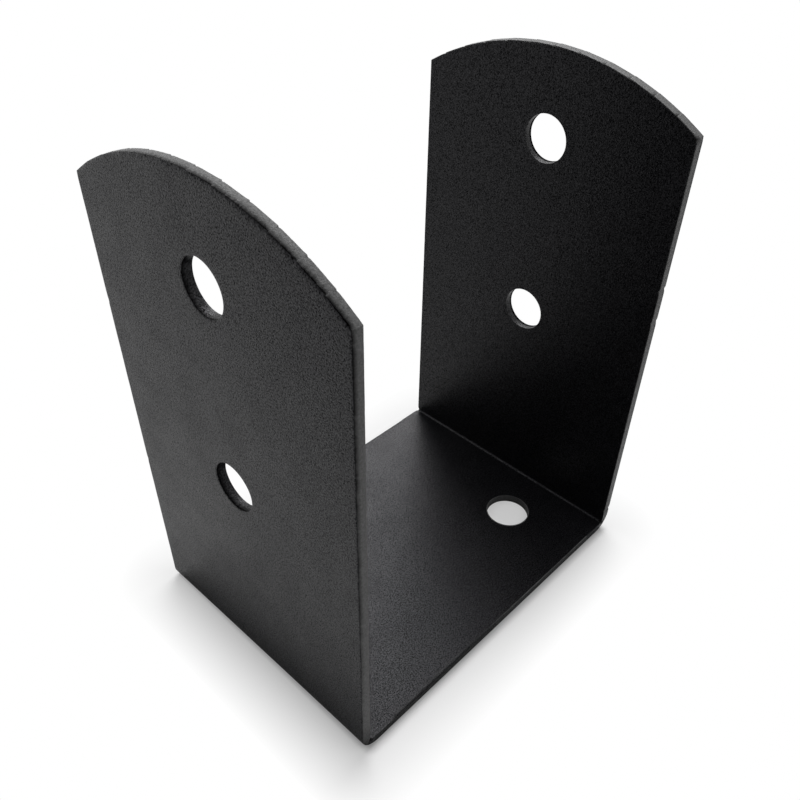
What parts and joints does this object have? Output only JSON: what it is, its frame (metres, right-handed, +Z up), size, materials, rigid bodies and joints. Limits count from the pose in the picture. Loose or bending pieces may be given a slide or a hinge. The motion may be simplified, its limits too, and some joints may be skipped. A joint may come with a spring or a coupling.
{
  "type": "u bracket",
  "caption": "Folded steel u bracket with upright arched ears, cross-bolt holes in line through them and staggered fixing holes in its base.",
  "frame": {"origin": "middle of the underside of the base", "axes": "+X from ear to ear, +Y across the width of the ears, +Z up from the base to the crowns of the ears"},
  "size_m": [0.0944, 0.07, 0.12],
  "materials": {
    "powder_coat": "black powder coat, satin, with a fine leathery grain"
  },
  "bodies": {
    "root": {"u_bracket": "powder_coat"}
  },
  "joints": []
}
